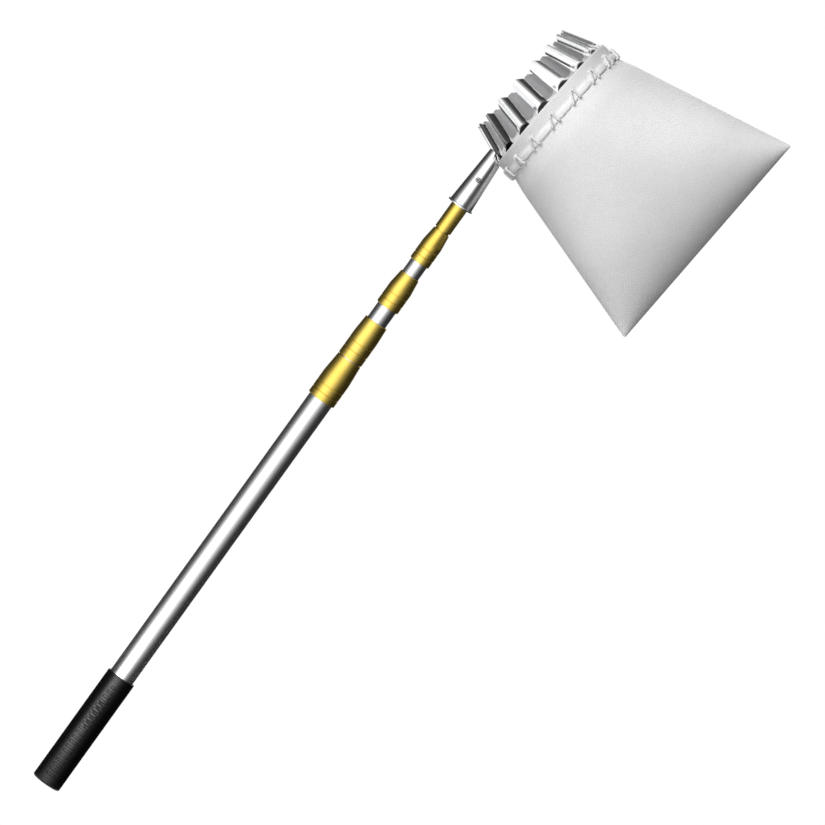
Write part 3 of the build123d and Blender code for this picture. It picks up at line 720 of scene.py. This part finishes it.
# Lacing: one thin twisted cord, lashed through the eyelets and round the lower edge of the hem in sixteen
# A-shaped stitches, so that it holds the hem and the bag to the hoop.
strand_radius = 0.00085
strand_reach = 0.00048
strand_lay = 0.0080
strand_count, strand_sides = 3, 7
route_smoothness = 6
inside, through, outside = 0.0712, 0.07475, 0.0781
stitch_high, stitch_low, stitch_foot = 0.0127, 0.0172, 0.0202
stitch_points = (
    (inside, strand_turn, lacing_drop), (through, strand_turn, lacing_drop),
    (outside, strand_turn, lacing_drop), (outside, strand_turn, stitch_high),
    (outside, strand_turn, stitch_low), (outside, strand_turn, stitch_foot),
    (through, strand_turn, stitch_foot), (inside, strand_turn, stitch_foot),
    (inside, 0.4, stitch_low), (inside, -0.4, stitch_high),
    (inside, -strand_turn, lacing_drop), (through, -strand_turn, lacing_drop),
    (outside, -strand_turn, lacing_drop), (outside, -2.6, stitch_high),
    (outside, -4.8, stitch_low), (outside, -slant_turn, stitch_foot),
    (through, -slant_turn, stitch_foot), (inside, -slant_turn, stitch_foot),
)
cord_pale = (0.74, 0.74, 0.738, 1)
cord_grey = (0.63, 0.63, 0.628, 1)
cord_roughness = (0.70, 0.90)
cord_sheen = 0.1
fibre_cells = 2600
fibre_strength, fibre_depth = 0.35, 0.0002

route = []
for stitch in range(stitch_count):
    for radius, turn, drop in stitch_points:
        route.append(at_ring(radius, first_stitch - stitch_pitch * stitch + turn, -drop))
knot_middle = (route[0] + route[-1]) / 2
route = [knot_middle] + route + [knot_middle]
line = bpy.data.curves.new("lacing_route", "CURVE")
line.dimensions = "3D"
spline = line.splines.new("NURBS")
spline.points.add(len(route) - 1)
for point, place in zip(spline.points, route):
    point.co = (*place, 1)
spline.order_u = 3
spline.use_endpoint_u = True
spline.resolution_u = route_smoothness
route_curve = bpy.data.objects.new("lacing_route", line)
bpy.context.scene.collection.objects.link(route_curve)
bpy.context.view_layer.update()
read = bpy.data.meshes.new_from_object(route_curve.evaluated_get(bpy.context.evaluated_depsgraph_get()))
cord_line = [vertex.co.copy() for vertex in read.vertices]
bpy.data.meshes.remove(read)
bpy.data.objects.remove(route_curve)

cord_fibre, tree, shader = new_finish("cord_fibre")
fibres = grain(tree, fibre_cells, detail=3.0)
feed(tree, shader,
     Base_Color=toned(tree, fibres, cord_grey, cord_pale),
     Roughness=ranged(tree, fibres, *cord_roughness),
     Sheen_Weight=cord_sheen)
raise_grain(tree, shader, fibres, fibre_strength, fibre_depth)


def twisted(line):
    """Points and faces of the cord's strands, twisted round a line of points."""
    points, faces = [], []
    run = [0.0]
    for index in range(1, len(line)):
        run.append(run[-1] + (line[index] - line[index - 1]).length)
    frames = frames_along(line)
    for strand in range(strand_count):
        path = []
        for place, length in zip(frames, run):
            turn = 2 * math.pi * (length / strand_lay + strand / strand_count)
            path.append(beside_line(place, turn, strand_reach))
        strand_points, strand_faces = tube_rings(path, strand_radius, strand_sides)
        faces += [tuple(corner + len(points) for corner in face) for face in strand_faces]
        points += strand_points
    return points, faces


cord_points, cord_faces = twisted(cord_line)
lacing = mesh_piece("lacing", cord_points, cord_faces, cord_fibre)
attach(lacing, "head")
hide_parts("lacing_cord")

# Knot: the two ends of the lacing tied inside the ring, drawn up into a small tight lump.
# It has the cord's finish, and its line runs in three loops that lie over one another.
knot_half_length = 0.0011
knot_loop = 0.00055
knot_tightness = 0.62
knot_strand_radius = 0.00055
knot_sides = 8
knot_steps = 72
knot_way = (route[1] - route[-2]).normalized()
knot_side = knot_way.orthogonal().normalized()
knot_up = knot_way.cross(knot_side)
knot_line = []
for step in range(knot_steps + 1):
    turn = 2 * math.pi * step / knot_steps
    along = knot_half_length * math.sin(3 * turn)
    wide = knot_loop * (math.sin(turn) + 2 * math.sin(2 * turn)) * knot_tightness
    high = knot_loop * (math.cos(turn) - 2 * math.cos(2 * turn)) * knot_tightness
    knot_line.append(knot_middle + knot_way * along + knot_side * wide + knot_up * high)
knot_points, knot_faces = tube_rings(knot_line, knot_strand_radius, knot_sides)
knot = mesh_piece("lacing_tie", knot_points, knot_faces, cord_fibre)
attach(knot, "head")
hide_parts("lacing_knot")

# Studio: a pale floor, a white surround and three soft lamps. Cards that only reflections see stand round
# the pole, above the ring and just off single fingers, so that the bright metal has dark edges and slopes.
floor_height = -0.004
floor_half = 3.0
floor_grey = (0.36, 0.36, 0.36, 1)
floor_roughness = 0.9
floor_white_share, floor_white = 0.9, 1.10
white = (1, 1, 1, 1)
surround_dim, surround_bright = 0.10, 1.0
surround_radius, surround_top = 1.3, 2.3
low_card_height = -0.002
low_card_start = 0.03
left_card_end, far_card_start = 0.45, 0.75
near_radius = 0.4
grip_strip_foot, grip_strip_top = -0.001, 0.088
socket_card_foot, socket_card_top = 0.684, 0.76
flag_foot, flag_top = 0.0, 0.041
ring_card_reach, ring_card_half = 1.1, 0.26
curve_steps = 48
oval_steps = 32
lamp_aim = (0.1, 0, 0.75)


def seen_directly(tree):
    """1 for rays from the camera, off a shiny face or through a clear one, 0 for rays that only light."""
    ray = put(tree, "LightPath")
    seen = ray.outputs["Is Camera Ray"]
    for kind in ("Is Glossy Ray", "Is Transmission Ray"):
        seen = put(tree, "Math", operation="MAXIMUM", in_0=seen, in_1=ray.outputs[kind]).outputs[0]
    return seen


pale_floor, tree, shader = new_finish("pale_floor")
feed(tree, shader, Base_Color=floor_grey, Roughness=floor_roughness)
part = put(tree, "Math", operation="MULTIPLY", in_0=seen_directly(tree), in_1=floor_white_share)
glow = put(tree, "Emission", Color=white, Strength=floor_white)
mixed = put(tree, "MixShader", in_0=part.outputs[0], in_1=shader.outputs[0], in_2=glow.outputs[0])
feed(tree, tree.nodes["Material Output"], Surface=mixed.outputs[0])
floor_corners = [(-floor_half, -floor_half), (floor_half, -floor_half),
                 (floor_half, floor_half), (-floor_half, floor_half)]
floor = mesh_piece("floor", [(x, y, floor_height) for x, y in floor_corners], [(0, 1, 2, 3)], pale_floor)

world = bpy.data.worlds.new("white_surround")
bpy.context.scene.world = world
world.use_nodes = True
tree = world.node_tree
level = ranged(tree, seen_directly(tree), surround_dim, surround_bright, 0.0, 1.0)
feed(tree, tree.nodes["Background"], Color=white, Strength=level)


def toward(bearing, rise):
    """Direction from the object to what stands at this bearing, rightwards from the front, and this rise."""
    turn, lift = math.radians(bearing), math.radians(rise)
    return Vector((math.sin(turn) * math.cos(lift), -math.cos(turn) * math.cos(lift), math.sin(lift)))


def rightward(bearing):
    """Level direction to the right, as seen from this bearing."""
    turn = math.radians(bearing)
    return Vector((math.cos(turn), math.sin(turn), 0))


def tone_card(name, points, shares, faces, tones):
    """A card that only reflections see; tones give its brightness by the share that each point has."""
    brightest = max(tone for share, tone in tones)
    finish, tree, shader = new_finish(name)
    tree.nodes.remove(shader)
    place = put(tree, "TexCoord")
    split = put(tree, "SeparateXYZ", Vector=place.outputs["UV"])
    ramp = put(tree, "ValToRGB", Fac=split.outputs["X"])
    while len(ramp.color_ramp.elements) < len(tones):
        ramp.color_ramp.elements.new(0.5)
    for element, (share, tone) in zip(ramp.color_ramp.elements, tones):
        element.position = share
        element.color = (tone / brightest, tone / brightest, tone / brightest, 1)
    glow = put(tree, "Emission", Color=ramp.outputs["Color"], Strength=brightest)
    feed(tree, tree.nodes["Material Output"], Surface=glow.outputs[0])
    card = mesh_piece(name, points, faces, finish)
    lay_out(card, "card", [(share, 0.5) for share in shares])
    card.visible_camera = card.visible_diffuse = card.visible_shadow = card.visible_transmission = False


def curved_card(name, inner, outer, bearings):
    """A card swept round the pole between two (radius, height) lines, toned by bearing."""
    start, end = bearings[0][0], bearings[-1][0]
    points, shares, faces = [], [], []
    for step in range(curve_steps + 1):
        bearing = math.radians(start + (end - start) * step / curve_steps)
        for radius, height in (inner, outer):
            points.append((radius * math.sin(bearing), -radius * math.cos(bearing), height))
            shares.append(step / curve_steps)
        if step:
            corner = 2 * step
            faces.append((corner - 2, corner, corner + 1, corner - 1))
    tones = [((bearing - start) / (end - start), tone) for bearing, tone in bearings]
    tone_card(name, points, shares, faces, tones)


def flag_card(name, number, inner, outer, bearing, rise, reach, tones):
    """A dark strip that hides the bright surround from one slope of one finger, toned across its width."""
    corners = ((inner, flag_foot), (outer, flag_foot), (outer, flag_top), (inner, flag_top))
    points = [finger_point(finger_angle(number), across, height) + toward(bearing, rise) * reach
              for across, height in corners]
    tone_card(name, points, [0.0, 1.0, 1.0, 0.0], [(0, 1, 2, 3)], tones)


def oval_card(name, seen_from, bearing, rise, reach, half_wide, half_high, tones):
    """An oval card that faces a place on the object from this bearing and rise."""
    way = toward(bearing, rise)
    across = rightward(bearing)
    upward = way.cross(across)
    middle = Vector(seen_from) + way * reach
    points, shares, faces = [middle], [0.0], []
    for step in range(oval_steps):
        angle = 2 * math.pi * step / oval_steps
        points.append(middle + across * half_wide * math.cos(angle) + upward * half_high * math.sin(angle))
        shares.append(1.0)
        faces.append((0, step + 1, (step + 1) % oval_steps + 1))
    tone_card(name, points, shares, faces, tones)


surround_tones = ((-165, 0.2), (-150, 0.05), (-112, 0.05), (-84, 0.12), (-62, 0.50), (-48, 1.1),
                  (-36, 1.6), (-8, 1.6), (6, 1.35), (20, 0.82), (40, 0.33), (62, 0.09), (85, 0.025),
                  (150, 0.03), (165, 0.2))
right_tones = ((26, 1.0), (45, 0.3), (62, 0.09), (85, 0.025), (165, 0.03))
left_tones = ((-165, 0.05), (-112, 0.05), (-84, 0.12), (-68, 0.45), (-55, 1.0))
grip_tones = ((-165, 0.03), (-78, 0.03), (-60, 0.3), (-46, 2.4), (-34, 8.0), (-8, 8.0), (6, 4.6), (22, 1.0),
              (40, 0.2), (62, 0.03), (165, 0.03))
socket_tones = ((10, 1.2), (22, 0.35), (36, 0.07), (56, 0.07), (80, 0.28), (120, 0.30), (165, 0.25))
low_start, low_end = (low_card_start, low_card_height), (surround_radius, low_card_height)
curved_card("tall_card", (surround_radius, 0.0), (surround_radius, surround_top), surround_tones)
curved_card("right_low_card", low_start, low_end, right_tones)
curved_card("left_low_card", low_start, (left_card_end, low_card_height), left_tones)
curved_card("left_far_card", (far_card_start, low_card_height), low_end, left_tones)
curved_card("grip_strip", (near_radius, grip_strip_foot), (near_radius, grip_strip_top), grip_tones)
curved_card("socket_card", (near_radius, socket_card_foot), (near_radius, socket_card_top), socket_tones)

slope_tones = ((0.0, 0.70), (0.25, 0.30), (0.5, 0.06), (1.0, 0.02))
grey_tones = ((0.0, 0.35), (0.5, 0.12), (1.0, 0.04))
edge_tones = ((0.0, 0.04), (0.55, 0.08), (1.0, 0.7))
ridge_tones = ((0.0, 0.03), (1.0, 0.12))
flag_card("first_flag", 2, 0.0010, 0.0080, -71, -56, 0.009, slope_tones)
flag_card("second_flag", 3, -0.0040, 0.0076, -40, -22, 0.003, slope_tones)
flag_card("third_flag", 4, 0.0002, 0.0076, -35, 19, 0.003, slope_tones)
flag_card("fourth_flag", 5, -0.0062, 0.0076, -54, 57, 0.009, slope_tones)
flag_card("fifth_flag", 6, 0.0024, 0.0080, -142, 62, 0.006, grey_tones)
flag_card("sixth_flag", 7, -0.0078, -0.0050, -35, 16, 0.004, edge_tones)
flag_card("seventh_flag", 8, -0.0078, -0.0050, -51, 55, 0.004, edge_tones)
flag_card("second_ridge_flag", 3, -0.0030, 0.0028, -113, -56, 0.004, ridge_tones)
flag_card("first_ridge_flag", 2, -0.0030, 0.0060, -123, -56, 0.003, ridge_tones)
oval_card("ring_card_4", ring_middle, -138, 63, ring_card_reach, ring_card_half, ring_card_half,
          ((0.0, 0.2), (0.6, 0.25), (1.0, 1.0)))


def soft_lamp(name, place, wide, high, power):
    lamp = bpy.data.lights.new(name, "AREA")
    lamp.shape = "RECTANGLE"
    lamp.size, lamp.size_y = wide, high
    lamp.energy = power
    stand = bpy.data.objects.new(name, lamp)
    bpy.context.scene.collection.objects.link(stand)
    stand.location = place
    stand.rotation_euler = (Vector(lamp_aim) - Vector(place)).to_track_quat("-Z", "Y").to_euler()
    stand.visible_camera = stand.visible_glossy = False


soft_lamp("front_lamp", (-1.7, -2.15, 1.85), 1.6, 2.0, 89)
soft_lamp("fill_lamp", (0.1, -3.0, 0.9), 1.6, 1.6, 22)
soft_lamp("back_lamp", (-1.5, 2.4, 1.6), 1.6, 2.0, 70)

# Camera: a long lens, far in front of the object and a little above it.
# It is rolled so that the pole leans as it does in the picture.
view_bearing, view_rise = 2.5, 5.5
view_roll = math.radians(35.7094)
view_distance = 26.3876
aim_right, aim_up = 0.35195, 0.35522
focal_length, sensor_width = 1200, 36
clip_near, clip_far = 0.1, 200

back = toward(view_bearing, view_rise)
level_right = rightward(view_bearing)
level_up = back.cross(level_right)
picture_right = level_right * math.cos(view_roll) + level_up * math.sin(view_roll)
picture_up = level_up * math.cos(view_roll) - level_right * math.sin(view_roll)
lens = bpy.data.cameras.new("camera")
lens.lens = focal_length
lens.sensor_width = sensor_width
lens.clip_start, lens.clip_end = clip_near, clip_far
camera = bpy.data.objects.new("camera", lens)
bpy.context.scene.collection.objects.link(camera)
stand_at = picture_right * aim_right + picture_up * aim_up + back * view_distance
camera.matrix_world = Matrix((
    (picture_right.x, picture_up.x, back.x, stand_at.x),
    (picture_right.y, picture_up.y, back.y, stand_at.y),
    (picture_right.z, picture_up.z, back.z, stand_at.z),
    (0, 0, 0, 1),
))
bpy.context.scene.camera = camera
bpy.context.scene.view_settings.view_transform = "Standard"
